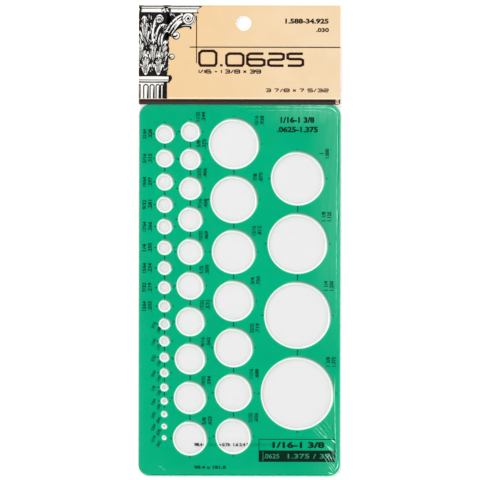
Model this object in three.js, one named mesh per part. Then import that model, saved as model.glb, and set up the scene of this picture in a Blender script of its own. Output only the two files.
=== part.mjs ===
// A circle template sold in a clear film sleeve, closed at the top by a folded header card.
// It lies face up. Millimetres, +Z up, +Y towards the card's fold.
// The origin is on the surface it lies on, under the middle of the pack.

import * as THREE from "three";

const INCH = 25.4;

// ---------------------------------------------------------------- driving dimensions

const PACK_LENGTH = 230.9; // bottom fold of the sleeve to the top of the card

// The sheet with the circles.
const SHEET = {
  width: 3.875 * INCH,
  length: 7.15625 * INCH,
  thickness: 0.03 * INCH,
  cornerRadius: 5.6,
  toBottom: 0.43, // from the sheet's lower edge to the end of the pack
};

// A hole is wider than the circle it draws by the thickness of the pencil's lead.
const LEAD = 0.95;
const UNIT = INCH / 64; // the circles' sizes are whole numbers of 64ths of an inch

// One column of circles, from the card's end down. x is the column's centre line, topY the first
// centre, web the strip left between one drawn circle and the next, sizes the diameters in UNITs.
const COLUMNS = [
  { x: -36.66, topY: 52.15, web: 3.77, sizes: descending(21, 4, 1) },
  { x: -24.11, topY: 53.3, web: 4.36, sizes: descending(40, 22, 2).reverse() },
  { x: -2.89, topY: 47.35, web: 4.17, sizes: [60, 56, 52, 48, 46, 44, 42] },
  { x: 28.32, topY: 30.45, web: 4.85, sizes: [64, 72, 80, 88] },
];

const FILM = 0.1; // thickness of the sleeve's film
const SLEEVE = {
  width: 99.2,
  underCard: 29.4, // how far the films reach up under the card
  sideWeld: 0.22, // width of a side weld
  topWeld: 1.5, // width of the weld that shuts the sleeve
  freePlay: 6.0, // room above the sheet before it meets the top weld
};

const CARD = {
  width: 98.6,
  x: -0.25, // the card sits a little left of the sleeve's middle
  height: 48.9, // fold to lower edge
  thickness: 0.36,
  hole: { diameter: 7.5, x: 1.9, fromTop: 9.0 },
};

const GLUE = { width: 92, length: 12, thickness: 0.08, aboveCardEdge: 13.5 };

const GAP = 0.02; // between layers that lie on each other
const SHEET_GAP = 0.04; // above and below the sheet, which slides
const END_GAP = 0.03; // between pieces that meet end to end

const CHORD = 2.0; // longest straight step round a circle
const LEAST_SIDES = 16;

// ---------------------------------------------------------------- heights, from the table up

const backGlueZ = CARD.thickness + GAP;
const backFilmZ = backGlueZ + GLUE.thickness + GAP;
const sheetZ = backFilmZ + FILM + SHEET_GAP;
const frontFilmZ = sheetZ + SHEET.thickness + SHEET_GAP;
const frontGlueZ = frontFilmZ + FILM + GAP;
const frontCardZ = frontGlueZ + GLUE.thickness + GAP;
const packTopZ = frontCardZ + CARD.thickness;

// ---------------------------------------------------------------- places along the pack

const packTopY = PACK_LENGTH / 2;
const packBottomY = -PACK_LENGTH / 2;
const cardEdgeY = packTopY - CARD.height;
const creaseRadius = packTopZ / 2;
const creaseY = packTopY - creaseRadius;
const foldRadius = (frontFilmZ + FILM - backFilmZ) / 2;
const foldY = packBottomY + foldRadius;
const filmTopY = cardEdgeY + SLEEVE.underCard;
const sheetBottomY = packBottomY + SHEET.toBottom;
const sheetTopY = sheetBottomY + SHEET.length;
const topWeldY = sheetTopY + SLEEVE.freePlay;

// ---------------------------------------------------------------- materials

const greenPlastic = new THREE.MeshStandardMaterial({
  color: 0x0aa873,
  roughness: 0.25,
  transparent: true,
  opacity: 0.9,
});
const clearFilm = new THREE.MeshStandardMaterial({
  color: 0xf4f6f6,
  roughness: 0.12,
  transparent: true,
  opacity: 0.15,
});
const meltedFilm = new THREE.MeshStandardMaterial({
  color: 0xe6ebea,
  roughness: 0.35,
  transparent: true,
  opacity: 0.35,
});
const printedCard = new THREE.MeshStandardMaterial({ color: 0xf4d5a8, roughness: 0.6 });
const plainCard = new THREE.MeshStandardMaterial({ color: 0xf2ece0, roughness: 0.8 });
const glue = new THREE.MeshStandardMaterial({ color: 0xe9dcb4, roughness: 0.5 });

// ---------------------------------------------------------------- shapes

function descending(from, to, step) {
  const sizes = [];
  for (let size = from; size >= to; size -= step) sizes.push(size);
  return sizes;
}

// A round hole as a closed path whose sides are about CHORD long.
function roundHole(x, y, diameter) {
  const sides = Math.max(LEAST_SIDES, Math.ceil((Math.PI * diameter) / CHORD));
  const points = [];
  for (let i = 0; i < sides; i++) {
    const angle = (2 * Math.PI * i) / sides;
    const radius = diameter / 2;
    points.push(new THREE.Vector2(x + radius * Math.cos(angle), y + radius * Math.sin(angle)));
  }
  return new THREE.Path(points);
}

function rectangle(width, bottomY, topY) {
  const half = width / 2;
  return new THREE.Shape([
    new THREE.Vector2(-half, bottomY),
    new THREE.Vector2(half, bottomY),
    new THREE.Vector2(half, topY),
    new THREE.Vector2(-half, topY),
  ]);
}

function roundedRectangle(width, bottomY, topY, radius) {
  const half = width / 2;
  const shape = new THREE.Shape();
  shape.absarc(half - radius, topY - radius, radius, 0, Math.PI / 2);
  shape.absarc(-half + radius, topY - radius, radius, Math.PI / 2, Math.PI);
  shape.absarc(-half + radius, bottomY + radius, radius, Math.PI, 1.5 * Math.PI);
  shape.absarc(half - radius, bottomY + radius, radius, 1.5 * Math.PI, 2 * Math.PI);
  return shape;
}

// A flat layer: an outline in X and Y, raised from z by its thickness.
function layer(name, outline, z, thickness, material) {
  const geometry = new THREE.ExtrudeGeometry(outline, {
    depth: thickness,
    bevelEnabled: false,
    curveSegments: 6,
  });
  const mesh = new THREE.Mesh(geometry, material);
  mesh.name = name;
  mesh.position.z = z;
  return mesh;
}

// A half tube that runs along X: material bent round from one layer to the other.
// It bulges towards +Y, or towards -Y when towards is -1.
function bentEdge(name, width, radius, thickness, towards, y, z, material) {
  const inner = radius - thickness;
  const outline = new THREE.Shape();
  outline.absarc(0, 0, radius, -Math.PI / 2, Math.PI / 2, false);
  outline.absarc(0, 0, inner, Math.PI / 2, -Math.PI / 2, true);
  const geometry = new THREE.ExtrudeGeometry(outline, {
    depth: width,
    bevelEnabled: false,
    curveSegments: 10,
  });
  // The outline's own X becomes the bulge's direction, and its own Z the pack's X.
  geometry.translate(0, 0, -width / 2);
  geometry.rotateX(Math.PI / 2);
  geometry.rotateZ((towards * Math.PI) / 2);
  const mesh = new THREE.Mesh(geometry, material);
  mesh.name = name;
  mesh.position.set(0, y, z);
  return mesh;
}

// ---------------------------------------------------------------- the sheet

function columnHoles({ x, topY, web, sizes }) {
  const holes = [];
  let y = topY;
  sizes.forEach((size, i) => {
    if (i > 0) y -= ((sizes[i - 1] + size) / 2) * UNIT + web;
    holes.push(roundHole(x, y, size * UNIT + LEAD));
  });
  return holes;
}

function templateSheet() {
  const outline = roundedRectangle(SHEET.width, sheetBottomY, sheetTopY, SHEET.cornerRadius);
  outline.holes = COLUMNS.flatMap(columnHoles);
  return layer("template_sheet", outline, sheetZ, SHEET.thickness, greenPlastic);
}

// ---------------------------------------------------------------- the sleeve

function filmPanel(name, z) {
  const outline = rectangle(SLEEVE.width, foldY + END_GAP, filmTopY);
  return layer(name, outline, z, FILM, clearFilm);
}

// A strip of melted film that joins the two films.
function weld(name, width, bottomY, topY) {
  const z = backFilmZ + FILM + GAP;
  return layer(name, rectangle(width, bottomY, topY), z, frontFilmZ - GAP - z, meltedFilm);
}

function sideWeld(name, side) {
  const strip = weld(name, SLEEVE.sideWeld, foldY + END_GAP, filmTopY);
  strip.position.x = (side * (SLEEVE.width - SLEEVE.sideWeld)) / 2;
  return strip;
}

function sleeve() {
  const group = new THREE.Group();
  const topWeldWidth = SLEEVE.width - 2 * (SLEEVE.sideWeld + END_GAP);
  const foldZ = backFilmZ + foldRadius;
  group.add(
    filmPanel("bag_back_film", backFilmZ),
    filmPanel("bag_front_film", frontFilmZ),
    sideWeld("bag_left_weld", -1),
    sideWeld("bag_right_weld", 1),
    weld("bag_top_weld", topWeldWidth, topWeldY, topWeldY + SLEEVE.topWeld),
    bentEdge("bag_bottom_fold", SLEEVE.width, foldRadius, FILM, -1, foldY, foldZ, clearFilm),
  );
  return group;
}

// ---------------------------------------------------------------- the header card

function cardPanel(name, z, material) {
  const outline = rectangle(CARD.width, cardEdgeY, creaseY - END_GAP);
  outline.holes = [roundHole(CARD.hole.x, packTopY - CARD.hole.fromTop, CARD.hole.diameter)];
  return layer(name, outline, z, CARD.thickness, material);
}

function glueStrip(name, z) {
  const bottomY = cardEdgeY + GLUE.aboveCardEdge;
  return layer(name, rectangle(GLUE.width, bottomY, bottomY + GLUE.length), z, GLUE.thickness, glue);
}

function backOfCard() {
  const group = new THREE.Group();
  group.position.x = CARD.x;
  group.add(
    cardPanel("header_back_panel", 0, plainCard),
    glueStrip("back_glue_strip", backGlueZ),
    bentEdge(
      "header_crease",
      CARD.width,
      creaseRadius,
      CARD.thickness,
      1,
      creaseY,
      creaseRadius,
      printedCard,
    ),
  );
  return group;
}

// The front panel and its glue lift together about the fold.
function frontOfCard() {
  const group = new THREE.Group();
  group.position.x = CARD.x;
  group.add(
    cardPanel("header_front_panel", frontCardZ, printedCard),
    glueStrip("front_glue_strip", frontGlueZ),
  );
  return group;
}

const circleTemplatePack = new THREE.Group();
circleTemplatePack.add(templateSheet(), sleeve(), backOfCard(), frontOfCard());

export default circleTemplatePack;
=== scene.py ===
"""The looks of a circle template in its hanging pack: a green see-through sheet with graded round
holes, in a clear film sleeve that is closed by a folded, printed header card.

Meshes are drawn in millimetres, in the CAD model's frame, and scaled to metres when they are done.
"""

import math
import random

import bmesh
import bpy
from mathutils import Matrix, Vector, noise


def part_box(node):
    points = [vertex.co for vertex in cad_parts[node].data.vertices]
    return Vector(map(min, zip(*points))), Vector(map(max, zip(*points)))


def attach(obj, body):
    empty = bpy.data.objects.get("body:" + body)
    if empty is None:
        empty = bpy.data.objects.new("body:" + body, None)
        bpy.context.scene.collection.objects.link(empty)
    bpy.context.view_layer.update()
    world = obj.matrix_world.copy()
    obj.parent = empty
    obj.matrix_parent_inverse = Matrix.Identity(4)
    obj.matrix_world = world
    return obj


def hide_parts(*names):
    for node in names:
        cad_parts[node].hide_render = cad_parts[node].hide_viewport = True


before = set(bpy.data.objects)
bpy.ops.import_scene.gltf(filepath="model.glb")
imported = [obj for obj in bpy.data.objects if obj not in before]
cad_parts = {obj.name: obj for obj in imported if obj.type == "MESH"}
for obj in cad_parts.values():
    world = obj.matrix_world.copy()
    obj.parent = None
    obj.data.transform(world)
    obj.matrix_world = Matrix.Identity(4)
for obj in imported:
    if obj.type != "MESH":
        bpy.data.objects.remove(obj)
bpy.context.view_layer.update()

MM = 0.001
INCH = 25.4


def box_mm(node):
    """Lowest and highest corners of a CAD node, in millimetres."""
    low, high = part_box(node)
    return low / MM, high / MM


SHEET_LOW, SHEET_HIGH = box_mm("template_sheet")
FRONT_FILM_LOW, FRONT_FILM_HIGH = box_mm("bag_front_film")
_, BACK_FILM_HIGH = box_mm("bag_back_film")
CARD_LOW, CARD_HIGH = box_mm("header_front_panel")
CREASE_LOW, CREASE_HIGH = box_mm("header_crease")
_, FOLD_HIGH = box_mm("bag_bottom_fold")
WELD_LOW, WELD_HIGH = box_mm("bag_top_weld")

INK = 0.006  # thickness of one layer of ink
LAYER = 0.009  # step from one layer of ink to the next
SHEET_TOP = SHEET_HIGH.z - 0.01  # the sheet's face, which leaves room for its ink
CARD_TOP = CARD_HIGH.z - 8.3 * LAYER  # the card's face, which leaves room for eight layers of ink
CARD_LEFT = CARD_LOW.x
CARD_RIGHT = CARD_HIGH.x
CARD_EDGE = CARD_LOW.y
PACK_TOP = CREASE_HIGH.y
CORNER = 5.6  # radius of the sheet's corners


# ---------------------------------------------------------------- colours and nodes


def colour(code):
    """A scene colour from a web colour such as "#f4d5a8"."""
    channels = [int(code[i : i + 2], 16) / 255 for i in (1, 3, 5)]
    linear = [c / 12.92 if c <= 0.04045 else ((c + 0.055) / 1.055) ** 2.4 for c in channels]
    return (*linear, 1.0)


def grey(value):
    return (value, value, value, 1.0)


def empty_material(name):
    material = bpy.data.materials.new(name)
    material.use_nodes = True
    material.node_tree.nodes.clear()
    return material, material.node_tree


def add(tree, kind, inputs=None, **settings):
    """A node whose inputs are set from numbers, colours or other nodes' outputs."""
    made = tree.nodes.new(kind)
    for name, value in settings.items():
        setattr(made, name, value)
    for name, value in (inputs or {}).items():
        if isinstance(value, bpy.types.NodeSocket):
            tree.links.new(value, made.inputs[name])
        else:
            made.inputs[name].default_value = value
    return made


def place(tree):
    """The point on the surface, in metres."""
    return add(tree, "ShaderNodeTexCoord").outputs["Object"]


def noise_of(tree, where, scale, detail=2.0, roughness=0.5):
    inputs = {"Vector": where, "Scale": scale, "Detail": detail, "Roughness": roughness}
    return add(tree, "ShaderNodeTexNoise", inputs).outputs["Fac"]


def stretched(tree, where, factors, turn=0.0):
    """The point with each of its coordinates multiplied, after a turn about Z."""
    turned = add(tree, "ShaderNodeMapping", {"Vector": where, "Rotation": (0.0, 0.0, turn)})
    return add(tree, "ShaderNodeMapping", {"Vector": turned.outputs[0], "Scale": factors}).outputs[0]


def remap(tree, value, low, high, to_low=0.0, to_high=1.0):
    """Moves a value from one range to another, with smooth ends."""
    inputs = {"Value": value, "From Min": low, "From Max": high, "To Min": to_low, "To Max": to_high}
    return add(tree, "ShaderNodeMapRange", inputs, interpolation_type="SMOOTHSTEP").outputs[0]


def maths(tree, operation, a, b=0.0):
    return add(tree, "ShaderNodeMath", {0: a, 1: b}, operation=operation).outputs[0]


def blend_colour(tree, factor, a, b):
    return add(tree, "ShaderNodeMix", {0: factor, 6: a, 7: b}, data_type="RGBA").outputs[2]


def vector_maths(tree, operation, a, b=(0.0, 0.0, 0.0)):
    return add(tree, "ShaderNodeVectorMath", {0: a, 1: b}, operation=operation).outputs


def bumps(tree, height, strength, distance):
    inputs = {"Height": height, "Strength": strength, "Distance": distance}
    return add(tree, "ShaderNodeBump", inputs).outputs[0]


def principled(tree, base, roughness, specular=0.5, normal=None, glow=None, strength=1.0):
    """A surface, which also gives off light where it has a glow."""
    inputs = {"Base Color": base, "Roughness": roughness, "Specular IOR Level": specular}
    if normal is not None:
        inputs["Normal"] = normal
    if glow is not None:
        inputs.update({"Emission Color": glow, "Emission Strength": strength})
    return add(tree, "ShaderNodeBsdfPrincipled", inputs).outputs[0]


def show(tree, shader):
    add(tree, "ShaderNodeOutputMaterial", {"Surface": shader})


def mixed(tree, factor, a, b):
    return add(tree, "ShaderNodeMixShader", {0: factor, 1: a, 2: b}).outputs[0]


def clear(tree, tint):
    return add(tree, "ShaderNodeBsdfTransparent", {"Color": tint}).outputs[0]


# ---------------------------------------------------------------- drawing in millimetres


def smooth_step(low, high, value):
    t = min(max((value - low) / (high - low), 0.0), 1.0)
    return t * t * (3 - 2 * t)


def finish_piece(name, bm, materials, body, replaced=(), sharp=30.0):
    """Makes the piece from a bmesh drawn in millimetres. Edges bent by more than sharp degrees stay crisp."""
    bmesh.ops.transform(bm, matrix=Matrix.Scale(MM, 4), verts=bm.verts)
    bmesh.ops.recalc_face_normals(bm, faces=bm.faces)
    limit = math.radians(sharp)
    for face in bm.faces:
        face.smooth = True
    for edge in bm.edges:
        edge.smooth = edge.calc_face_angle(0.0) < limit
    mesh = bpy.data.meshes.new(name)
    bm.to_mesh(mesh)
    bm.free()
    for material in materials:
        mesh.materials.append(material)
    obj = bpy.data.objects.new(name, mesh)
    bpy.context.scene.collection.objects.link(obj)
    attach(obj, body)
    if replaced:
        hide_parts(*replaced)


def bridge(bm, ring_a, ring_b, material=0, closed=True):
    """Quads between two rows of as many corners."""
    count = len(ring_a)
    for i in range(count if closed else count - 1):
        j = (i + 1) % count
        face = bm.faces.new((ring_a[i], ring_a[j], ring_b[j], ring_b[i]))
        face.material_index = material


def corners(bm, points, z):
    return [bm.verts.new((x, y, z)) for x, y in points]


def slab(bm, points, z):
    """A flat patch of ink with any outline."""
    low = corners(bm, points, z)
    high = corners(bm, points, z + INK)
    bridge(bm, low, high)
    bm.faces.new(low[::-1])
    bm.faces.new(high)


def bar(bm, left, right, bottom, top, z):
    slab(bm, [(left, bottom), (right, bottom), (right, top), (left, top)], z)


def circle(x, y, radius, sides, start=0.0, end=2 * math.pi):
    """Points round a circle, or along an arc of it that includes its end."""
    whole = end - start >= 2 * math.pi - 1e-6
    steps = sides if whole else sides - 1
    angles = [start + (end - start) * i / steps for i in range(sides)]
    return [(x + radius * math.cos(a), y + radius * math.sin(a)) for a in angles]


def rounded_box(low, high, corner, inset, sides):
    """An upright box's outline with round corners, moved in by inset but with as many points."""
    points = []
    for sign_x, sign_y, turn in ((1, 1, 0), (-1, 1, 1), (-1, -1, 2), (1, -1, 3)):
        x = (high.x if sign_x > 0 else low.x) - corner * sign_x
        y = (high.y if sign_y > 0 else low.y) - corner * sign_y
        start = turn * math.pi / 2
        points.extend(circle(x, y, corner - inset, sides, start, start + math.pi / 2))
    return points


def wall_rings(bm, outlines, materials):
    """Joins outlines that go down through a plate, each given as points and a height."""
    rows = [corners(bm, points, z) for points, z in outlines]
    for a, b, material in zip(rows, rows[1:], materials):
        bridge(bm, a, b, material)
    return rows[0], rows[-1]


def fill_faces(bm, walls, materials):
    """Fills a plate's upper and lower faces between its walls, with a material for each face."""
    for side, material in enumerate(materials):
        rows = [wall[side] for wall in walls]
        edges = [bm.edges.get(pair) for row in rows for pair in zip(row, row[1:] + row[:1])]
        for made in bmesh.ops.triangle_fill(bm, use_beauty=True, edges=edges)["geom"]:
            if isinstance(made, bmesh.types.BMFace):
                made.material_index = material


def skin(bm, rows):
    """Joins rows of corners that each go out along one face and back along the other, and shuts both ends."""
    for a, b in zip(rows, rows[1:]):
        bridge(bm, a, b)
    for row in (rows[0], rows[-1]):
        half = len(row) // 2
        bridge(bm, row[:half], row[half:][::-1], closed=False)


def round_hole(points):
    """Centre and radius of the circle that the points lie on."""
    x = sum(p[0] for p in points) / len(points)
    y = sum(p[1] for p in points) / len(points)
    return x, y, max(math.dist((x, y), p) for p in points)


def ring(bm, x, y, outer, inner, z, sides):
    """A flat washer of ink."""
    rows = []
    for radius, height in ((outer, z), (outer, z + INK), (inner, z + INK), (inner, z)):
        rows.append(corners(bm, circle(x, y, radius, sides), height))
    for a, b in zip(rows, rows[1:] + rows[:1]):
        bridge(bm, a, b)


def smooth_path(points, steps=8):
    """A smooth curve through the points."""
    line = [Vector(p) for p in points]
    line = [2 * line[0] - line[1], *line, 2 * line[-1] - line[-2]]
    path = []
    for a, b, c, d in zip(line, line[1:], line[2:], line[3:]):
        for i in range(steps):
            t = i / steps
            bend = (2 * a - 5 * b + 4 * c - d) * t**2 + (3 * b - a - 3 * c + d) * t**3
            path.append((2 * b + (c - a) * t + bend) / 2)
    path.append(line[-2])
    return path


def stroke(bm, points, widths, z, steps=8, height=None):
    """A pen stroke along a smooth curve, whose width runs through the given widths.
    height, if given, is a function of x and y that the stroke lies on."""
    path = smooth_path(points, steps)
    rows = ([], [], [], [])
    last = len(path) - 1
    for i, point in enumerate(path):
        along = i / last * (len(widths) - 1)
        k = min(int(along), len(widths) - 2)
        half = (widths[k] + (widths[k + 1] - widths[k]) * (along - k)) / 2
        before, after = path[max(i - 1, 0)], path[min(i + 1, last)]
        ahead = (after - point).normalized() + (point - before).normalized()
        reach = max(half, 0.01) / max(ahead.length / (2 if 0 < i < last else 1), 0.5)
        side = Vector((-ahead.y, ahead.x)).normalized() * reach
        low = z if height is None else height(point.x, point.y) + z
        for row, (sign, level) in zip(rows, ((1, low), (1, low + INK), (-1, low + INK), (-1, low))):
            row.append(bm.verts.new((point.x + sign * side.x, point.y + sign * side.y, level)))
    for a, b in zip(rows, rows[1:] + rows[:1]):
        bridge(bm, a, b, closed=False)
    for end in (0, last):
        bm.faces.new([row[end] for row in rows])


def numerals(bm, text, x, y, height, z, width=None, turn=0.0, weight=0.0):
    """Numbers as thin solid letters, centred on x and y. Height and width are those of the whole line."""
    curve = bpy.data.curves.new("numerals", "FONT")
    curve.body = text
    curve.offset = weight
    curve.extrude = 0.5
    curve.resolution_u = 3
    writer = bpy.data.objects.new("numerals", curve)
    bpy.context.scene.collection.objects.link(writer)
    bpy.context.view_layer.update()
    mesh = bpy.data.meshes.new_from_object(writer.evaluated_get(bpy.context.evaluated_depsgraph_get()))
    xs = [v.co.x for v in mesh.vertices]
    ys = [v.co.y for v in mesh.vertices]
    middle = Vector(((min(xs) + max(xs)) / 2, (min(ys) + max(ys)) / 2, -0.5))
    tall = height / (max(ys) - min(ys))
    wide = tall if width is None else width / (max(xs) - min(xs))
    mesh.transform(Matrix.Translation(-middle))
    mesh.transform(Matrix.Diagonal((wide, tall, INK, 1.0)))
    mesh.transform(Matrix.Translation((x, y, z)) @ Matrix.Rotation(turn, 4, "Z"))
    bm.from_mesh(mesh)
    bpy.data.objects.remove(writer)
    bpy.data.curves.remove(curve)
    bpy.data.meshes.remove(mesh)


# ---------------------------------------------------------------- the sheet's materials


def painted_sheen_side(tree, where):
    """Painted sheen: how pale the sheet is painted where the film's hazy reflection of the light lies, most
    along its right side and in its upper right corner.
    """
    split = add(tree, "ShaderNodeSeparateXYZ", {0: where})
    x, y = split.outputs["X"], split.outputs["Y"]
    side = remap(tree, x, 0.032, 0.049, 0.0, 0.6)
    upper = remap(tree, y, -0.062, 0.010, 0.04, 1.0)
    lower = remap(tree, y, -0.070, -0.086, 0.0, 0.4)
    side = maths(tree, "MULTIPLY", side, maths(tree, "MAXIMUM", upper, lower))
    top = maths(tree, "MULTIPLY", remap(tree, y, 0.053, 0.064), remap(tree, x, 0.004, 0.043))
    streaks = noise_of(tree, stretched(tree, where, (520.0, 60.0, 60.0), math.radians(4)), 1.0, 3.0)
    patches = remap(tree, streaks, 0.25, 0.75, 0.7, 1.3)
    return maths(tree, "MULTIPLY", maths(tree, "MAXIMUM", side, top), patches)


def sheet_face():
    """Tinted plastic: half of the light is scattered by the sheet, and half passes through it."""
    material, tree = empty_material("green_plastic_face")
    where = place(tree)
    cloud = remap(tree, noise_of(tree, where, 28.0, 3.0), 0.3, 0.7)
    fine = noise_of(tree, where, 900.0, 3.0, 0.7)
    new = blend_colour(tree, cloud, (0.0003, 0.72, 0.285, 1), (0.0005, 0.79, 0.33, 1))
    # painted sheen: the green is paled towards a whitish green where the film's reflection haze lies
    base = blend_colour(tree, painted_sheen_side(tree, where), new, (0.185, 0.93, 0.51, 1))
    brushed = noise_of(tree, stretched(tree, where, (3000.0, 120.0, 120.0)), 1.0, 2.0)
    rough = remap(tree, brushed, 0.3, 0.7, 0.08, 0.13)
    body = principled(tree, base, rough, 0.3, bumps(tree, fine, 0.12, 0.0001))
    show(tree, mixed(tree, 0.5, body, clear(tree, (0.003, 0.86, 0.58, 1))))
    return material


def sheet_underside():
    material, tree = empty_material("green_plastic_underside")
    where = place(tree)
    base = blend_colour(tree, noise_of(tree, where, 60.0), (0.001, 0.42, 0.18, 1), (0.001, 0.52, 0.24, 1))
    body = principled(tree, base, 0.3, 0.3)
    show(tree, mixed(tree, 0.9, body, clear(tree, (0.9, 0.98, 0.96, 1))))
    return material


def sheet_rim():
    """The cut edge, deep green on the left, with painted highlights that make it brighter on the right and
    mint at the bottom.
    """
    material, tree = empty_material("green_plastic_rim")
    where = place(tree)
    split = add(tree, "ShaderNodeSeparateXYZ", {0: where})
    # painted highlight masks: the right side and the bottom are painted as if lit
    right = remap(tree, split.outputs["X"], 0.040, 0.047)
    bottom = remap(tree, split.outputs["Y"], -0.112, -0.1148)
    streak = noise_of(tree, stretched(tree, where, (200.0, 200.0, 3000.0)), 1.0, 3.0)
    deep = blend_colour(tree, streak, (0.001, 0.26, 0.12, 1), (0.004, 0.36, 0.17, 1))
    painted_bright = blend_colour(tree, streak, (0.004, 0.52, 0.30, 1), (0.01, 0.66, 0.42, 1))
    base = blend_colour(tree, bottom, blend_colour(tree, right, deep, painted_bright), (0.2, 0.86, 0.62, 1))
    show(tree, principled(tree, base, 0.22, 0.4))
    return material


def cut_edge():
    """The frosted wall of a hole, green under the sheet's face and glowing white lower down, where the glow
    is painted light.
    Its upper right is painted duller and greener, a painted shade."""
    material, tree = empty_material("frosted_hole_wall_painted_glow")
    where = place(tree)
    facing = add(tree, "ShaderNodeTexCoord").outputs["Normal"]
    level = vector_maths(tree, "NORMALIZE", vector_maths(tree, "MULTIPLY", facing, (1, 1, 0))[0])[0]
    # painted shade: how much the wall's upper right, which faces down and to the left, is painted dimmer and
    # greener
    painted_dim = remap(tree, vector_maths(tree, "DOT_PRODUCT", level, (-0.707, -0.707, 0))["Value"], 0.3, 0.9)
    height = add(tree, "ShaderNodeSeparateXYZ", {0: where}).outputs["Z"]
    white = remap(tree, height, (SHEET_TOP + 0.04) * MM, SHEET_LOW.z * MM)
    white = maths(tree, "POWER", white, remap(tree, painted_dim, 0.0, 1.0, 1.0, 2.0))
    ridges = noise_of(tree, stretched(tree, where, (900.0, 900.0, 6000.0)), 1.0, 2.0)
    frost = blend_colour(tree, ridges, (0.86, 0.9, 0.88, 1), (0.97, 0.98, 0.97, 1))
    light = blend_colour(tree, ridges, (0.6, 0.63, 0.61, 1), (0.7, 0.73, 0.71, 1))
    light = blend_colour(tree, painted_dim, light, (0.42, 0.44, 0.43, 1))
    deep = blend_colour(tree, painted_dim, (0.008, 0.5, 0.25, 1), (0.008, 0.34, 0.18, 1))
    faint = blend_colour(tree, painted_dim, (0.003, 0.14, 0.06, 1), (0.003, 0.03, 0.02, 1))
    base = blend_colour(tree, white, deep, frost)
    glow = blend_colour(tree, white, faint, light)
    # painted glow: the wall's lower part gives off white light as an emission, darker where the painted shade
    # lies
    show(tree, principled(tree, base, 0.55, glow=glow))
    return material


def ink_material(name, code, roughness=0.5, speckle=0.12):
    """Printing ink, a little uneven where the surface takes less of it."""
    material, tree = empty_material(name)
    where = place(tree)
    base = colour(code)
    pale_ink = tuple(c + (1 - c) * speckle for c in base[:3]) + (1.0,)
    thin = remap(tree, noise_of(tree, where, 2200.0, 3.0, 0.7), 0.55, 0.8)
    rough = remap(tree, noise_of(tree, where, 700.0), 0.3, 0.7, roughness - 0.08, roughness + 0.08)
    show(tree, principled(tree, blend_colour(tree, thin, base, pale_ink), rough, 0.12))
    return material


# ---------------------------------------------------------------- the sheet

LEAD = 0.95  # a hole is this much wider than the circle it draws
UNIT = INCH / 64
WALL_SLOPE = 0.66  # how far a hole's wall leans in, down to the sheet's lower face
EASE = 0.2  # how far the wall's upper edge stands back from the drawn rim
SOFTNESS = 0.56  # how much further it stands back on a large hole's upper right
SHORT_TICK = 1.35
TICK = 0.46  # width of a centre mark
LEAST_MARKED = 1.75  # radius of the smallest hole with centre marks


def loops_of_holes():
    """Centre and radius of each round hole in the CAD sheet, found from the corners round its rim."""
    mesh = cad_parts["template_sheet"].data
    rim = {}
    for polygon in mesh.polygons:
        if abs(polygon.normal.z) > 0.5:
            continue
        high = [v for v in polygon.vertices if mesh.vertices[v].co.z / MM > SHEET_HIGH.z - 0.01]
        for v in high:
            key = tuple(round(c / MM, 3) for c in mesh.vertices[v].co[:2])
            rim.setdefault(key, set()).update(
                tuple(round(c / MM, 3) for c in mesh.vertices[w].co[:2]) for w in high if w != v
            )
    holes = []
    while rim:
        waiting = [next(iter(rim))]
        loop = []
        while waiting:
            key = waiting.pop()
            if key in rim:
                waiting.extend(rim.pop(key))
                loop.append(key)
        width = max(x for x, _ in loop) - min(x for x, _ in loop)
        if width < SHEET_HIGH.x:
            holes.append(round_hole(loop))
    return holes


def columns_of(holes):
    """The holes in columns from left to right, each from the card's end down."""
    columns = []
    for hole in sorted(holes):
        if columns and abs(columns[-1][0][0] - hole[0]) < 1.0:
            columns[-1].append(hole)
        else:
            columns.append([hole])
    return [sorted(column, key=lambda hole: -hole[1]) for column in columns]


HOLES = loops_of_holes()
COLUMNS = columns_of(HOLES)


def hole_ring(x, y, radius, sides, spread):
    """Points round a hole, moved out by spread on its upper right, where its edge is soft."""
    points = []
    for i in range(sides):
        angle = 2 * math.pi * i / sides
        soft = smooth_step(0.2, 0.85, math.cos(angle - math.pi / 4))
        away = radius + spread * soft
        points.append((x + away * math.cos(angle), y + away * math.sin(angle)))
    return points


def make_sheet():
    bm = bmesh.new()
    top, bottom = SHEET_TOP, SHEET_LOW.z
    face, underside, rim, wall = range(4)
    outer = [(0.3, top), (0.12, top - 0.05), (0.0, top - 0.2), (0.0, bottom + 0.15), (0.12, bottom)]
    outlines = [(rounded_box(SHEET_LOW, SHEET_HIGH, CORNER, inset, 16), z) for inset, z in outer]
    walls = [wall_rings(bm, outlines, (rim, rim, rim, rim))]
    for x, y, radius in HOLES:
        sides = max(40, min(128, round(radius * 10)))
        spread = min(SOFTNESS, 0.12 * radius)
        inner = [
            (radius + EASE, spread, top),
            (radius + EASE - 0.08, spread * 0.9, top - 0.05),
            (radius - WALL_SLOPE * 0.9, -spread * 0.9, bottom + 0.1),
            (radius - WALL_SLOPE, -spread, bottom + 0.04),
            (radius - WALL_SLOPE + 0.05, -spread, bottom),
        ]
        outlines = [(hole_ring(x, y, r, sides, wide), z) for r, wide, z in inner]
        walls.append(wall_rings(bm, outlines, (wall, wall, wall, underside)))
    fill_faces(bm, walls, (face, underside))
    materials = [sheet_face(), sheet_underside(), sheet_rim(), cut_edge()]
    finish_piece("circle_template", bm, materials, "template", ["template_sheet"], 20.0)


def size_text(radius):
    """The size of the circle that a hole draws, as a plain fraction of an inch and as a decimal."""
    units = round((2 * radius - LEAD) / UNIT)
    whole, part = divmod(units, 64)
    divisor = math.gcd(part, 64)
    fraction = "" if part == 0 else f"{part // divisor}/{64 // divisor}"
    return (f"{whole} {fraction}".strip() if whole else fraction), f"{units / 64:.3f}".lstrip("0")


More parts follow.
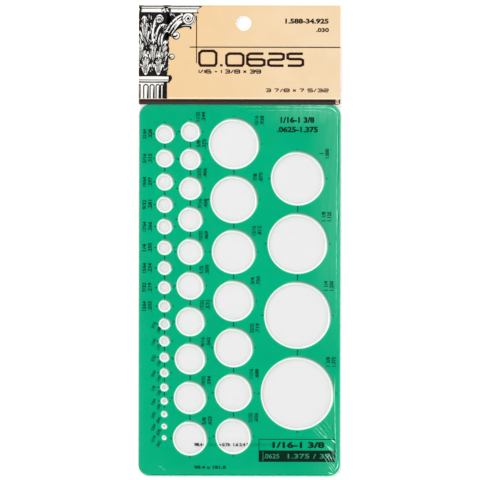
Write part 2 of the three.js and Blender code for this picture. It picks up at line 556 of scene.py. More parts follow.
def centre_marks(bm, column):
    """Short lines beside each hole but the smallest, and lines across the strips between the holes."""
    marked = [hole for hole in column if hole[2] > LEAST_MARKED]
    near, far = EASE, EASE + SOFTNESS * 0.85
    half = TICK / 2

    def upright(x, bottom, top):
        bar(bm, x - half, x + half, bottom, top, SHEET_TOP)

    for (x, y, radius), below in zip(marked, marked[1:]):
        upright(x, below[1] + below[2] + far, y - radius - near)
    x, y, radius = marked[0]
    upright(x, y + radius + far, y + radius + SHORT_TICK)
    x, y, radius = marked[-1]
    upright(x, y - radius - SHORT_TICK, y - radius - near)
    for x, y, radius in marked:
        bar(bm, x - radius - SHORT_TICK, x - radius - near, y - half, y + half, SHEET_TOP)
        bar(bm, x + radius + far, x + radius + SHORT_TICK, y - half, y + half, SHEET_TOP)


NUMBER_HEIGHT = 1.95
NUMBER_WIDTH = 4.7
NUMBER_STEP = 2.75  # from a circle's fraction to its decimal
UPRIGHT = math.pi / 2


def pair_of_numbers(bm, radius, x, y, turn=UPRIGHT, step=(NUMBER_STEP, 0.0), share=1.0):
    """The two sizes for a hole of this radius, one after the other, about x and y. share narrows them."""
    for text, side in zip(size_text(radius), (-0.5, 0.5)):
        width = 0.45 if text == "1" else min(NUMBER_WIDTH, 1.2 * len(text)) * share
        at = (x + side * step[0], y + side * step[1])
        numerals(bm, text, *at, NUMBER_HEIGHT * math.sqrt(share), SHEET_TOP, width, turn, 0.035)


def number_columns(bm):
    """The smallest circles have their sizes on their left, and the others up and to the right."""
    small, medium, *large = COLUMNS
    row_x = SHEET_LOW.x + 3.95
    in_row = 9  # the first circles' numbers stand in a row along the sheet's edge, and the rest lean
    for _, y, radius in small[:in_row]:
        pair_of_numbers(bm, radius, row_x, y)
    for x, y, radius in small[in_row:]:
        pair_of_numbers(bm, radius, x - 4.1, y - 1.8, math.radians(68), (2.5, -2.6), 0.7)
    least, most = medium[0][2], medium[-1][2]
    for x, y, radius in medium:
        larger = (radius - least) / (most - least)
        pair_of_numbers(bm, radius, x + 4.9 + 3.4 * larger, y + 7.4 + 1.2 * larger)
    for column, degrees, clearance in zip(large, (43, 43.5), (4.5, 4.65)):
        angle = math.radians(degrees)
        for x, y, radius in column:
            away = radius + clearance
            pair_of_numbers(bm, radius, x + away * math.cos(angle), y + away * math.sin(angle))


def size_block(bm, reverse):
    """A framed block at the sheet's lower right, with the range of sizes, dark over reversed."""
    left, right = SHEET_HIGH.x - 39.75, SHEET_HIGH.x - 2.2
    bottom, middle, top = (SHEET_LOW.y + up for up in (6.95, 12.6, 18.2))
    line = 0.36
    z = SHEET_TOP
    bar(bm, left, right, bottom, middle, z)
    bar(bm, left, right, top - line, top, z)
    bar(bm, left, left + line, middle, top - line, z)
    bar(bm, right - line, right, middle, top - line, z)
    numerals(bm, "1/16-1 3/8", (left + right) / 2 + 0.7, (middle + top) / 2 - 0.1, 3.2, z, 25.5, 0.0, 0.05)
    numerals(reverse, ".0625", left + 6.3, (bottom + middle) / 2, 2.3, z + LAYER, 7.6, 0.0, 0.01)
    numerals(reverse, "1.375 / 39", left + 24.5, (bottom + middle) / 2, 2.3, z + LAYER, 20.5, 0.0, 0.01)
    bar(reverse, left + 2.0, left + 2.25, bottom + 0.4, middle - 0.5, z + LAYER)


def make_sheet_ink():
    bm = bmesh.new()
    for column in COLUMNS:
        centre_marks(bm, column)
    number_columns(bm)
    title_x = SHEET_HIGH.x - 21.1
    numerals(bm, "1/16-1 3/8", title_x, SHEET_HIGH.y - 7.6, 3.0, SHEET_TOP, 16.6, 0.0, 0.05)
    numerals(bm, ".0625-1.375", title_x, SHEET_HIGH.y - 12.3, 3.0, SHEET_TOP, 20.1, 0.0, 0.05)
    numerals(bm, "98.4 x 181.8", -14.3, SHEET_LOW.y + 4.3, 1.7, SHEET_TOP, 15.6, 0.0, 0.04)
    reverse = bmesh.new()
    size_block(bm, reverse)
    dark = ink_material("sheet_ink_dark_green", "#00301f", 0.4, 0.01)
    light = ink_material("sheet_ink_reversed", "#3fae84", 0.4, 0.03)
    finish_piece("sheet_numbers_and_marks", bm, [dark], "template")
    finish_piece("sheet_reversed_numbers", reverse, [light], "template")


make_sheet()
make_sheet_ink()


# ---------------------------------------------------------------- the sleeve's materials


def over_sheet(tree, where):
    """1 over the sheet, and 0 outside its rounded outline."""
    centre = (SHEET_LOW + SHEET_HIGH) / 2 * MM
    straight = (SHEET_HIGH - SHEET_LOW) / 2 * MM - Vector((CORNER, CORNER, 0.0)) * MM
    across = vector_maths(tree, "MULTIPLY", vector_maths(tree, "SUBTRACT", where, centre)[0], (1, 1, 0))[0]
    past = vector_maths(tree, "SUBTRACT", vector_maths(tree, "ABSOLUTE", across)[0], straight)[0]
    away = vector_maths(tree, "LENGTH", vector_maths(tree, "MAXIMUM", past)[0])["Value"]
    return remap(tree, away, (CORNER - 0.1) * MM, CORNER * MM, 1.0, 0.0)


def film_material(name, tint, milkiness):
    """Clear film that darkens what is behind it a little, and has no tint where it lies free of the sheet."""
    material, tree = empty_material(name)
    where = place(tree)
    crinkle = noise_of(tree, where, 260.0, 4.0, 0.6)
    normal = bumps(tree, crinkle, 0.25, 0.0002)
    milk = principled(tree, grey(0.92), 0.35, 0.4, normal)
    pane = mixed(tree, over_sheet(tree, where), clear(tree, grey(1.0)), clear(tree, grey(tint)))
    cloudy = remap(tree, noise_of(tree, where, 300.0), 0.3, 0.7, 0.0, milkiness)
    gloss = add(tree, "ShaderNodeBsdfGlossy", {"Color": grey(0.9), "Roughness": 0.1, "Normal": normal})
    aslant = add(tree, "ShaderNodeLayerWeight", {"Blend": 0.5, "Normal": normal}).outputs["Facing"]
    mirror = maths(tree, "ADD", maths(tree, "MULTIPLY", maths(tree, "POWER", aslant, 4.0), 0.6), 0.012)
    show(tree, mixed(tree, mirror, mixed(tree, cloudy, pane, milk), gloss.outputs[0]))
    return material


def fold_material():
    """The film bent round the sheet's lower edge, faintly milky where it puckers."""
    material, tree = empty_material("folded_film")
    where = place(tree)
    pucker = noise_of(tree, stretched(tree, where, (900.0, 300.0, 300.0)), 1.0, 3.0)
    milk = principled(tree, (0.93, 0.98, 0.97, 1), 0.25, 0.5, bumps(tree, pucker, 0.4, 0.0001))
    beside = remap(tree, pucker, 0.3, 0.7, 0.03, 0.12)
    show(tree, mixed(tree, beside, clear(tree, (0.985, 0.995, 0.99, 1)), milk))
    return material


def bend_material(name, share_low, share_high, shaded=False):
    """A sharp bend in the film: a painted highlight whose glint is an emission glow, or a painted shade on
    its side that faces away from the light.
    """
    material, tree = empty_material(name)
    where = place(tree)
    broken = remap(tree, noise_of(tree, where, 420.0, 3.0, 0.6), 0.35, 0.65, share_low, share_high)
    if shaded:
        bend = clear(tree, (0.45, 0.72, 0.66, 1))
    else:
        bend = principled(tree, (0.3, 0.85, 0.62, 1), 0.25, glow=(0.55, 1.0, 0.8, 1), strength=1.5)
    show(tree, mixed(tree, broken, clear(tree, grey(1.0)), bend))
    return material


def weld_material():
    material, tree = empty_material("melted_film")
    where = place(tree)
    lumps = noise_of(tree, where, 1500.0, 3.0)
    milk = principled(tree, grey(0.92), 0.3, 0.5, bumps(tree, lumps, 0.4, 0.0001))
    cloudy = remap(tree, lumps, 0.3, 0.7, 0.03, 0.12)
    show(tree, mixed(tree, cloudy, clear(tree, grey(0.98)), milk))
    return material


def glue_material():
    material, tree = empty_material("hot_melt_glue")
    where = place(tree)
    lumps = noise_of(tree, where, 500.0, 3.0)
    base = blend_colour(tree, lumps, colour("#d9c48e"), colour("#efe2bb"))
    normal = bumps(tree, lumps, 0.5, 0.0003)
    body = principled(tree, base, 0.35, 0.5, normal)
    show(tree, mixed(tree, remap(tree, lumps, 0.2, 0.8, 0.55, 0.9), clear(tree, (0.95, 0.9, 0.75, 1)), body))
    return material


# ---------------------------------------------------------------- the sleeve

FILM = 0.04
FILM_TINT = 0.964  # what each face of a film lets through
MIDDLE = (SHEET_LOW.z + SHEET_HIGH.z) / 2  # height at which the two films are welded
PINCH = 0.055  # half of the gap between the films at a weld
FRONT_TOP = FRONT_FILM_HIGH.z - 0.05
BACK_TOP = BACK_FILM_HIGH.z - 0.03
FILM_SIDE = FRONT_FILM_HIGH.x
FILM_BOTTOM = FRONT_FILM_LOW.y
FILM_END = FRONT_FILM_HIGH.y


def slack(x, y):
    """How free the film is of its welds, from 0 on a weld to 1 over the sheet."""
    side = smooth_step(FILM_SIDE - 0.12, SHEET_HIGH.x + 0.02, abs(x))
    below = smooth_step(WELD_LOW.y + 0.1, WELD_LOW.y - 0.15, y)
    above = smooth_step(WELD_HIGH.y, WELD_HIGH.y + 2.5, y)
    return side * min(below + above, 1.0)


def ripple(x, y, seed):
    """Shallow waves of the film, up to 1 high."""
    broad = noise.noise(Vector((x * 0.06, y * 0.03, seed)))
    narrow = noise.noise(Vector((x * 0.35, y * 0.12, seed + 7.0)))
    return max(-1.0, min(1.0, 0.8 * broad + 0.5 * narrow))


def near_line(x, y, a, b, width):
    """1 on the straight line from a to b, falling to 0 at the width."""
    ax, ay = a
    dx, dy = b[0] - ax, b[1] - ay
    t = min(max(((x - ax) * dx + (y - ay) * dy) / (dx * dx + dy * dy), 0.0), 1.0)
    return max(0.0, 1 - math.hypot(x - ax - t * dx, y - ay - t * dy) / width)


RIGHT_CREASE = SHEET_HIGH.x - 1.45
TOP_CREASE = SHEET_HIGH.y - 1.55


def front_top(x, y):
    """Height of the front film's upper face."""
    ridges = near_line(x, y, (RIGHT_CREASE, SHEET_LOW.y), (RIGHT_CREASE, TOP_CREASE - 3), 0.7)
    ridges += near_line(x, y, (-SHEET_HIGH.x, TOP_CREASE), (RIGHT_CREASE - 3, TOP_CREASE), 0.7)
    free = FRONT_TOP + 0.018 * ripple(x, y, 2.0) + 0.022 * min(ridges, 1.0)
    pinched = MIDDLE + PINCH + FILM
    return pinched + (free - pinched) * slack(x, y)


def back_top(x, y):
    free = BACK_TOP + 0.012 * ripple(x, y, 31.0)
    pinched = MIDDLE - PINCH
    return pinched + (free - pinched) * slack(x, y)


def steps_between(low, high, step):
    count = max(1, round((high - low) / step))
    return [low + (high - low) * i / count for i in range(count)]


def film_lines():
    """Where the film's mesh has its lines: close together at the edges, the welds and the creases."""
    edge = SHEET_HIGH.x - 3.0
    fine = steps_between(edge, FILM_SIDE, 0.25)
    right = [*fine, FILM_SIDE]
    across = [-x for x in reversed(right)] + steps_between(-edge, edge, 1.0)[1:] + right
    along = []
    low = FILM_BOTTOM
    for high, step in (
        (SHEET_LOW.y + 4.0, 0.5),
        (SHEET_HIGH.y - 3.0, 1.1),
        (SHEET_HIGH.y + 1.0, 0.3),
        (WELD_LOW.y - 0.2, 0.9),
        (WELD_HIGH.y + 0.4, 0.12),
        (WELD_HIGH.y + 3.0, 0.4),
        (FILM_END, 1.1),
    ):
        along += steps_between(low, high, step)
        low = high
    return across, [*along, FILM_END]


def grid_plate(bm, across, along, top, thickness):
    """A closed sheet over a grid of lines, whose upper face is at top(x, y)."""
    rows = []
    for y in along:
        levels = [top(x, y) for x in across]
        upper = [bm.verts.new((x, y, z)) for x, z in zip(across, levels)]
        lower = [bm.verts.new((x, y, z - thickness)) for x, z in zip(across, levels)]
        rows.append(upper + lower[::-1])
    skin(bm, rows)


def make_films():
    across, along = film_lines()
    for side, top in (("front", front_top), ("back", back_top)):
        bm = bmesh.new()
        grid_plate(bm, across, along, top, FILM)
        material = film_material(f"clear_{side}_film", FILM_TINT, 0.0015)
        finish_piece(f"{side}_film", bm, [material], "sleeve", [f"bag_{side}_film"], 60.0)


def make_side_weld(name, side):
    """A thin melted bead with small crimps."""
    bm = bmesh.new()
    middle = side * (FILM_SIDE - 0.11)
    rings = []
    for y in [*steps_between(FILM_BOTTOM, FILM_END, 0.7), FILM_END]:
        swell = 1 + 0.25 * noise.noise(Vector((side * 9.0, y * 1.3, 0.0)))
        wide, tall = 0.085 * swell, 0.042 * swell
        points = circle(0.0, 0.0, 1.0, 8)
        rings.append([bm.verts.new((middle + wide * u, y, MIDDLE + tall * v)) for u, v in points])
    for a, b in zip(rings, rings[1:]):
        bridge(bm, a, b)
    for end in (rings[0], rings[-1]):
        bm.faces.new(end)
    finish_piece(name, bm, [weld_material()], "sleeve", ["bag_" + name], 50.0)


def make_top_weld():
    """A sealed band with fine cross ribs."""
    bm = bmesh.new()
    across = [*steps_between(WELD_LOW.x, WELD_HIGH.x, 0.3), WELD_HIGH.x]
    along = [*steps_between(WELD_LOW.y + 0.1, WELD_HIGH.y - 0.05, 0.18), WELD_HIGH.y - 0.05]

    def ribbed(x, y):
        up = (y - WELD_LOW.y) / (WELD_HIGH.y - WELD_LOW.y)
        return MIDDLE + 0.036 + 0.012 * math.sin(2 * math.pi * x / 1.2) * math.sin(math.pi * up)

    grid_plate(bm, across, along, ribbed, 0.07)
    finish_piece("top_weld", bm, [weld_material()], "sleeve", ["bag_top_weld"], 50.0)


def make_bottom_fold():
    """The film bent round from one face to the other, slightly puckered along the bend."""
    bm = bmesh.new()
    low = BACK_TOP - FILM
    middle = (FRONT_TOP + low) / 2
    radius = (FRONT_TOP - low) / 2
    y = FOLD_HIGH.y
    rows = []
    for x in [*steps_between(-FILM_SIDE, FILM_SIDE, 0.8), FILM_SIDE]:
        free = slack(x, FILM_BOTTOM)
        pucker = 1 - 0.05 * abs(noise.noise(Vector((x * 0.5, 3.0, 0.0))))
        tall = (PINCH + FILM) + (radius - PINCH - FILM) * free
        deep = radius * pucker
        bend = circle(0.0, 0.0, 1.0, 13, math.pi / 2, 3 * math.pi / 2)
        row = [(x, y + deep * u, middle + tall * v) for u, v in bend]
        row += [(x, y + (deep - FILM) * u, middle + (tall - FILM) * v) for u, v in bend[::-1]]
        rows.append([bm.verts.new(point) for point in row])
    skin(bm, rows)
    finish_piece("bottom_fold", bm, [fold_material()], "sleeve", ["bag_bottom_fold"], 60.0)


def make_painted_crease_light():
    """Painted highlights and painted shade along the bends in the front film: round the sheet's edge and in
    its lower right corner. The bright strokes glow, and the shade strokes darken what lies under them.
    """
    painted_bright, soft, shade = bmesh.new(), bmesh.new(), bmesh.new()

    def crease(bm, points, *widths):
        stroke(bm, points, widths, 0.002, height=front_top)

    def fan(bm, start, end, step, count, width):
        """Parallel short lines, each a little shorter than the last."""
        for i in range(count):
            x, y = start[0] + step[0] * i, start[1] + step[1] * i
            far = (end[0] + step[0] * i * 0.8, end[1] + step[1] * i * 0.8)
            bow = ((x + far[0]) / 2 + 0.15, (y + far[1]) / 2 + 0.1)
            crease(bm, [(x, y), bow, far], 0.03, width, 0.04)

    right, top, sheet_top = RIGHT_CREASE, TOP_CREASE, SHEET_HIGH.y
    along_top = [(-6, top + 0.2), (14, top + 0.3), (30, top + 0.1), (right - 5.0, top)]
    crease(soft, along_top, 0.03, 0.2, 0.45, 0.4)
    crease(painted_bright, [(right - 5.0, top), (right - 2.4, top - 0.7), (right - 0.6, top - 2.4)], 0.05, 0.35, 0.2)
    on_edge = [(24, sheet_top - 0.5), (34, sheet_top - 0.45), (right - 4.6, sheet_top - 0.75)]
    crease(soft, on_edge, 0.05, 0.4, 0.5)
    under_edge = [(4, top - 1.5), (24, top - 1.3), (38, top - 1.5), (right - 1.8, top - 3.0)]
    crease(soft, under_edge, 0.03, 0.2, 0.22, 0.1)
    crease(soft, [(right - 0.4, top - 1.9), (right - 0.1, top - 5), (right, top - 9)], 0.2, 0.3, 0.25)
    crease(painted_bright, [(right, top - 7.5), (right - 0.05, 44.5), (right, 33)], 0.03, 0.12, 0.03)
    crease(painted_bright, [(right, 15.5), (right - 0.02, 12), (right - 0.1, 6.5)], 0.03, 0.12, 0.03)
    down_side = [(right - 0.5, 36), (right - 0.55, 12), (right - 0.5, -12), (right - 0.6, -40)]
    crease(soft, down_side, 0.05, 0.3, 0.3, 0.05)
    along_bottom = [(x, SHEET_LOW.y + up) for x, up in ((-43, 0.62), (0, 0.6), (43, 0.62))]
    crease(shade, along_bottom, 0.36, 0.4, 0.36)
    crease(shade, [(right + 0.5, top - 5), (right + 0.45, 46), (right + 0.5, 28)], 0.2, 0.4, 0.1)
    crease(shade, [(right + 0.45, 16), (right + 0.42, 11), (right + 0.45, 3)], 0.1, 0.38, 0.1)
    crease(painted_bright, [(right - 1.0, -66), (right - 1.25, -74), (right - 1.1, -82)], 0.03, 0.15, 0.1)
    crease(painted_bright, [(right - 1.1, -82), (right - 0.95, -90), (right - 0.6, -100.5)], 0.1, 0.17, 0.06)
    crease(soft, [(right - 0.6, -100.5), (right - 0.3, -105), (right - 1.6, -112.5)], 0.15, 0.28, 0.15)
    crease(shade, [(right - 1.9, -86), (right - 2.0, -92), (right - 1.6, -97.5)], 0.05, 0.25, 0.05)
    fan(painted_bright, (35.6, -90.2), (42.0, -96.6), (1.5, 0.9), 2, 0.12)
    fan(soft, (34.4, -90.8), (40.4, -97.0), (1.6, 1.1), 5, 0.14)
    fan(shade, (35.4, -89.9), (41.2, -96.2), (1.5, 0.9), 4, 0.2)
    crease(painted_bright, [(41.2, -95.0), (42.2, -95.9), (43.0, -96.7)], 0.1, 0.26, 0.1)
    crease(painted_bright, [(45.0, -97.0), (46.2, -98.0), (47.3, -98.9)], 0.06, 0.36, 0.1)
    fan(painted_bright, (42.2, -99.6), (46.3, -104.6), (0.9, -0.4), 3, 0.18)
    fan(painted_bright, (40.6, -104.6), (43.2, -108.6), (1.5, 0.4), 4, 0.2)
    fan(soft, (41.0, -103.4), (45.0, -108.0), (1.1, 0.2), 3, 0.26)
    fan(shade, (42.4, -108.9), (45.0, -112.2), (0.9, 0.5), 3, 0.26)
    fan(painted_bright, (43.0, -109.4), (45.8, -113.0), (0.9, 0.7), 3, 0.2)
    crease(painted_bright, [(43.4, -112.9), (44.6, -113.6), (46.0, -113.5)], 0.05, 0.4, 0.1)
    crease(painted_bright, [(48.3, -107.2), (48.0, -110.2), (46.3, -112.8)], 0.05, 0.32, 0.1)
    for x, y in ((-38.4, -110.6), (-36.9, -111.9)):
        crease(soft, [(x - 1.0, y + 0.2), (x, y + 0.1), (x + 1.2, y - 0.7)], 0.03, 0.22, 0.03)
    glint = bend_material("film_bend_painted_glint", 0.14, 0.42)
    painted_dim = bend_material("film_bend_soft_painted_glint", 0.01, 0.12)
    dark = bend_material("film_bend_painted_shade", 0.3, 0.85, shaded=True)
    finish_piece("film_crease_painted_glints", painted_bright, [glint], "sleeve")
    finish_piece("film_soft_crease_painted_glints", soft, [painted_dim], "sleeve")
    finish_piece("film_crease_painted_shade", shade, [dark], "sleeve")


def make_film_print():
    """A line of small black numbers on the back film."""
    bm = bmesh.new()
    z = BACK_TOP + 0.03
    numerals(bm, "98.4 x 181.8 x 0.76  1.6 2.4 3.2 6.4 9.5 12.7", -2.2, -99.7, 1.7, z, 39.6, 0.0, 0.05)
    black = ink_material("film_ink_black", "#050605", 0.4, 0.0)
    finish_piece("back_film_numbers", bm, [black], "sleeve")


make_films()
make_side_weld("left_weld", -1)
make_side_weld("right_weld", 1)
make_top_weld()
make_bottom_fold()
make_painted_crease_light()
make_film_print()


# ---------------------------------------------------------------- the header card's materials


def board_face(name, left_tone, right_tone):
    """Coated card printed a warm cream, deeper on the left and paler towards the fold."""
    material, tree = empty_material(name)
    where = place(tree)
    split = add(tree, "ShaderNodeSeparateXYZ", {0: where})
    across = remap(tree, split.outputs["X"], -0.036, 0.04)
    tone = blend_colour(tree, across, colour(left_tone), colour(right_tone))
    paler_near_fold = remap(tree, split.outputs["Y"], (PACK_TOP - 0.7) * MM, (PACK_TOP - 0.1) * MM, 0.0, 0.7)
    blotch = noise_of(tree, where, 90.0, 4.0, 0.6)
    deeper = blend_colour(tree, remap(tree, blotch, 0.3, 0.75, 0.0, 0.35), tone, colour("#efcb96"))
    fibre = noise_of(tree, stretched(tree, where, (900.0, 2600.0, 900.0)), 1.0, 3.0, 0.7)
    grained = blend_colour(tree, remap(tree, fibre, 0.55, 0.85, 0.0, 0.3), deeper, colour("#fbe6c6"))
    rough = remap(tree, blotch, 0.2, 0.8, 0.42, 0.58)
    base = blend_colour(tree, paler_near_fold, grained, colour("#fff4e0"))
    show(tree, principled(tree, base, rough, 0.2, bumps(tree, fibre, 0.15, 0.00005)))
    return material


def board_plain(name, code):
    """Uncoated board, with its fibres."""
    material, tree = empty_material(name)
    where = place(tree)
    fibre = noise_of(tree, stretched(tree, where, (700.0, 2400.0, 1500.0), 0.3), 1.0, 4.0, 0.7)
    fleck = remap(tree, noise_of(tree, where, 1500.0, 2.0), 0.68, 0.74, 0.0, 0.5)
    base = blend_colour(tree, fibre, colour(code), colour("#fffaf0"))
    flecked = blend_colour(tree, fleck, base, colour("#b9a888"))
    show(tree, principled(tree, flecked, 0.85, 0.15, bumps(tree, fibre, 0.4, 0.0001)))
    return material


# ---------------------------------------------------------------- the header card


def hang_hole():
    """Centre and radius of the hang hole in the CAD panel."""
    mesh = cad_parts["header_front_panel"].data
    inside = set()
    for vertex in mesh.vertices:
        x, y, _ = vertex.co / MM
        if abs(x) < CARD_RIGHT - 1 and CARD_EDGE + 1 < y < CARD_HIGH.y - 1:
            inside.add((round(x, 3), round(y, 3)))
    return round_hole(inside)


def make_card_panel(side, low, high, materials, body):
    """A punched card panel. Materials are its upper face, its lower face and its cut edge."""
    bm = bmesh.new()
    x, y, radius = hang_hole()
    soft = 0.035
    levels = [(soft, high), (0.0, high - soft), (0.0, low + soft), (soft, low)]
    outline = [(rounded_box(CARD_LOW, CARD_HIGH, 0.4, inset, 5), z) for inset, z in levels]
    hole = [(circle(x, y, radius + inset, 72), z) for inset, z in levels]
    fill_faces(bm, [wall_rings(bm, rings, (2, 2, 2)) for rings in (outline, hole)], (0, 1))
    finish_piece(f"card_{side}", bm, materials, body, [f"header_{side}_panel"], 20.0)


def make_crease(printed, plain):
    """The card bent round from one panel to the other, with the print paler along the bend."""
    bm = bmesh.new()
    middle = (CARD_TOP + CREASE_LOW.z) / 2
    tall = CARD_TOP - middle
    y = CREASE_LOW.y
    deep = CREASE_HIGH.y - y
    card = 0.34  # the card's thickness at the bend
    round_bend = 17  # corners round the bend's outer face
    rows = []
    for x in [*steps_between(CARD_LEFT, CARD_RIGHT, 1.2), CARD_RIGHT]:
        pressed = deep * (1 - 0.02 * abs(noise.noise(Vector((x * 0.2, 0.0, 5.0)))))
        bend = circle(0.0, 0.0, 1.0, round_bend, -math.pi / 2, math.pi / 2)
        row = [(x, y + pressed * u, middle + tall * v) for u, v in bend]
        row += [(x, y + (pressed - card) * u, middle + (tall - card) * v) for u, v in bend[::-1]]
        rows.append([bm.verts.new(point) for point in row])
    skin(bm, rows)
    outside = {vertex for row in rows for vertex in row[:round_bend]}
    for face in bm.faces:
        face.material_index = 0 if outside.issuperset(face.verts) else 1
    finish_piece("card_fold", bm, [printed, plain], "sleeve", ["header_crease"], 50.0)


def make_glue(side, body):
    """A strip of hot-melt glue pressed flat, uneven at its edges."""
    bm = bmesh.new()
    low, high = box_mm(f"{side}_glue_strip")
    across = [*steps_between(low.x, high.x, 0.9), high.x]
    middle = (low.z + high.z) / 2
    wander = 0.5
    steps = 12  # over the strip's length
    rows = []
    for x in across:
        bottom = low.y + wander * (0.5 + 0.5 * noise.noise(Vector((x * 0.25, 0.0, low.z))))
        top = high.y - wander * (0.5 + 0.5 * noise.noise(Vector((x * 0.25, 9.0, low.z))))
        upper, lower = [], []
        for i in range(steps + 1):
            y = bottom + (top - bottom) * i / steps
            thick = 0.055 + 0.02 * noise.noise(Vector((x * 0.5, y * 0.5, low.z)))
            upper.append(bm.verts.new((x, y, middle + thick / 2)))
            lower.append(bm.verts.new((x, y, middle - thick / 2)))
        rows.append(upper + lower[::-1])
    skin(bm, rows)
    finish_piece(f"{side}_glue", bm, [glue_material()], body, [f"{side}_glue_strip"], 40.0)


# ---------------------------------------------------------------- the header card's print


def on_card(layer):
    """Height of one of the card's layers of ink, from 0."""
    return CARD_TOP + 0.002 + layer * LAYER


# Wide square numerals, as pen strokes on a field one wide and one high, with the share of a full width.
NUMERALS = {
    "0": (1.0, [[(0.5, 0), (1, 0), (1, 1), (0, 1), (0, 0), (0.5, 0)]]),
    "1": (0.12, [[(0.9, 0), (0.9, 1)]]),
    "2": (0.9, [[(0, 1), (1, 1), (1, 0.5), (0, 0.5), (0, 0), (1, 0)]]),
    "3": (0.9, [[(0, 1), (1, 1), (1, 0), (0, 0)], [(0.25, 0.5), (1, 0.5)]]),
    "4": (0.9, [[(0, 1), (0, 0.42), (1, 0.42)], [(0.72, 1), (0.72, 0)]]),
    "5": (0.9, [[(1, 1), (0, 1), (0, 0.55), (1, 0.55), (1, 0), (0, 0)]]),
    "6": (1.0, [[(0.95, 1), (0, 1), (0, 0), (1, 0), (1, 0.52), (0, 0.52)]]),
    "7": (0.85, [[(0, 1), (1, 1), (0.35, 0)]]),
    "8": (1.0, [[(0.5, 0), (1, 0), (1, 1), (0, 1), (0, 0), (0.5, 0)], [(0, 0.52), (1, 0.52)]]),
    "9": (1.0, [[(1, 0.48), (0, 0.48), (0, 1), (1, 1), (1, 0), (0.1, 0)]]),
    ".": (0.12, [[(0.5, 0.12), (0.5, -0.08)]]),
    "/": (0.5, [[(0, -0.04), (1, 1.04)]]),
    "-": (0.5, [[(0, 0.46), (1, 0.46)]]),
    "x": (0.55, [[(0, 0.1), (1, 0.8)], [(0, 0.8), (1, 0.1)]]),
    " ": (0.25, []),
}


def eased(points, share=0.16):
    """A path with each of its corners cut a little, which rounds them."""
    path = [points[0]]
    for before, corner, after in zip(points, points[1:], points[2:]):
        for towards in (before, after):
            path.append(tuple(c + (t - c) * share for c, t in zip(corner, towards)))
    return [*path, points[-1]]


def wide_numerals(bm, text, left, bottom, width, height, z, pen, tall_first=1.0):
    """A line of wide square numerals, which fills the width. The first may be taller."""
    shares = [NUMERALS[sign][0] for sign in text]
    gap = 0.24
    full = (width - pen) / (sum(shares) + gap * (len(text) - 1))
    x = left + pen / 2
    for i, sign in enumerate(text):
        wide = shares[i] * full
        tall = (height - pen) * (tall_first if i == 0 else 1.0)
        for points in NUMERALS[sign][1]:
            line = [(x + u * wide, bottom + pen / 2 + v * tall) for u, v in points]
            stroke(bm, eased(line), (pen, pen), z, steps=1)
        x += wide + gap * full


def make_card_lines():
    """The dark band along the card's lower edge, the two thin rules and the numbers."""
    dark, rules, upper, lower, pale, pale_ink = (bmesh.new() for _ in range(6))
    z = on_card(0)
    band = CARD_EDGE + 2.62
    split = CARD_EDGE + 1.35
    end = CARD_RIGHT - 2.25
    bar(lower, CARD_LEFT + 0.45, end, CARD_EDGE, split, z)
    bar(upper, CARD_LEFT + 0.45, end, split, band, z)
    bar(upper, CARD_LEFT + 0.05, CARD_LEFT + 0.4, CARD_EDGE + 0.3, band, z)
    # a grey ring near the band's right end
    ring(pale_ink, CARD_RIGHT - 1.5, CARD_EDGE + 1.6, 0.72, 0.3, z, 16)
    bar(lower, CARD_RIGHT - 0.75, CARD_RIGHT - 0.05, CARD_EDGE + 0.4, band, z)
    bar(lower, end + 0.02, CARD_RIGHT - 0.8, CARD_EDGE + 0.05, CARD_EDGE + 0.4, z)
    bar(pale, CARD_LEFT + 14.2, CARD_RIGHT, band + 0.3, band + 0.8, z)
    rule_y = CARD_EDGE + 28.05
    bar(rules, CARD_LEFT + 24.9, CARD_RIGHT, rule_y - 0.27, rule_y + 0.27, z)
    rule_x = CARD_LEFT + 28.25
    bar(rules, rule_x - 0.24, rule_x + 0.24, CARD_EDGE + 20.2, CARD_EDGE + 43.5, z)
    left = CARD_LEFT + 29.0
    wide_numerals(dark, "0.0625", left, CARD_EDGE + 18.4, 51.9, 7.15, z, 1.3, 1.22)
    wide_numerals(dark, "1/16 - 1 3/8 x 39", left, CARD_EDGE + 15.1, 30.9, 2.1, z, 0.56)
    numerals(dark, "1.588-34.925", CARD_RIGHT - 16.4, CARD_EDGE + 40.8, 2.6, z, 21.2, 0.0, 0.05)
    numerals(dark, ".030", CARD_RIGHT - 8.8, CARD_EDGE + 36.5, 2.1, z, 6.3, 0.0, 0.045)
    wide_numerals(dark, "3 7/8 x 7 5/32", CARD_RIGHT - 36.6, CARD_EDGE + 6.05, 30.9, 1.9, z, 0.48)
    for name, bm, ink, code, speckle in (
        ("card_numbers", dark, "brown", "#2c0e08", 0.03),
        ("card_rules", rules, "rust", "#3a1a0a", 0.03),
        ("card_band_upper", upper, "black", "#2e1c17", 0.12),
        ("card_band_lower", lower, "slate", "#3c3838", 0.12),
        ("card_pale_line", pale, "pale", "#fdf3cd", 0.12),
        ("card_grey_ring_end", pale_ink, "pale_ink", "#8a7b78", 0.12),
    ):
        material = ink_material("card_ink_" + ink, code, speckle=speckle)
        finish_piece(name, bm, [material], "header_flap")


# ---------------------------------------------------------------- the column printed on the header card


def on_picture(u, v):
    """A point of the column's picture: u to the right and v down from the card's upper left corner."""
    return CARD_LEFT + u, PACK_TOP - v


PAPER, BELL_BLACK, BACK_LEAVES, MIDDLE_SHADE, MIDDLE_LEAVES, FRONT_SHADE, FRONT_LEAVES, LINES = range(8)
WHITE_LAYERS = (PAPER, BACK_LEAVES, MIDDLE_LEAVES, FRONT_LEAVES)
SLIVER = 0.06  # from the card's left edge to the picture
HAIR = 0.0002  # step up from one shape of a layer to the next


